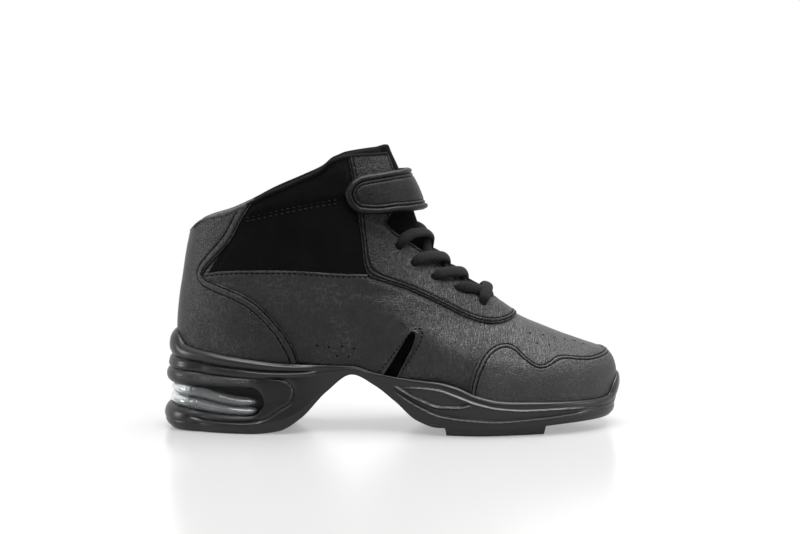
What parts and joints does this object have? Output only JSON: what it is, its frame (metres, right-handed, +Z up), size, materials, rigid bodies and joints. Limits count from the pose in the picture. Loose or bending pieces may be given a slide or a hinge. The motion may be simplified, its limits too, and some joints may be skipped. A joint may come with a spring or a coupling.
{
  "type": "high-top sneaker",
  "caption": "High-top dance sneaker for the right foot: black leather upper, ankle strap over a laced throat, split sole with a deep arch and a clear cushion in the heel",
  "frame": {"origin": "on the floor under the middle of the shoe's box", "axes": "+X toe, +Y inner (medial) side, +Z up"},
  "size_m": [0.2671, 0.0971, 0.1657],
  "materials": {
    "leather": "fine pebbled grain, soft sheen",
    "cloth": "matt brushed",
    "elastic": "matt ribbed",
    "insole": "matt",
    "lace": "woven, matt",
    "sole_rubber": "satin",
    "clear_cell": "clear moulded plastic"
  },
  "bodies": {
    "root": {"upper": "leather", "toe_cap": "leather", "heel_counter": "leather", "eyestay": "leather", "strap": "leather", "cuff_lateral": "cloth", "cuff_medial": "cloth", "tongue": "cloth", "gore_lateral": "elastic", "gore_medial": "elastic", "insole": "insole", "lace": "lace", "heel_sole": "sole_rubber", "forefoot_sole": "sole_rubber", "heel_cell": "clear_cell"}
  },
  "joints": []
}
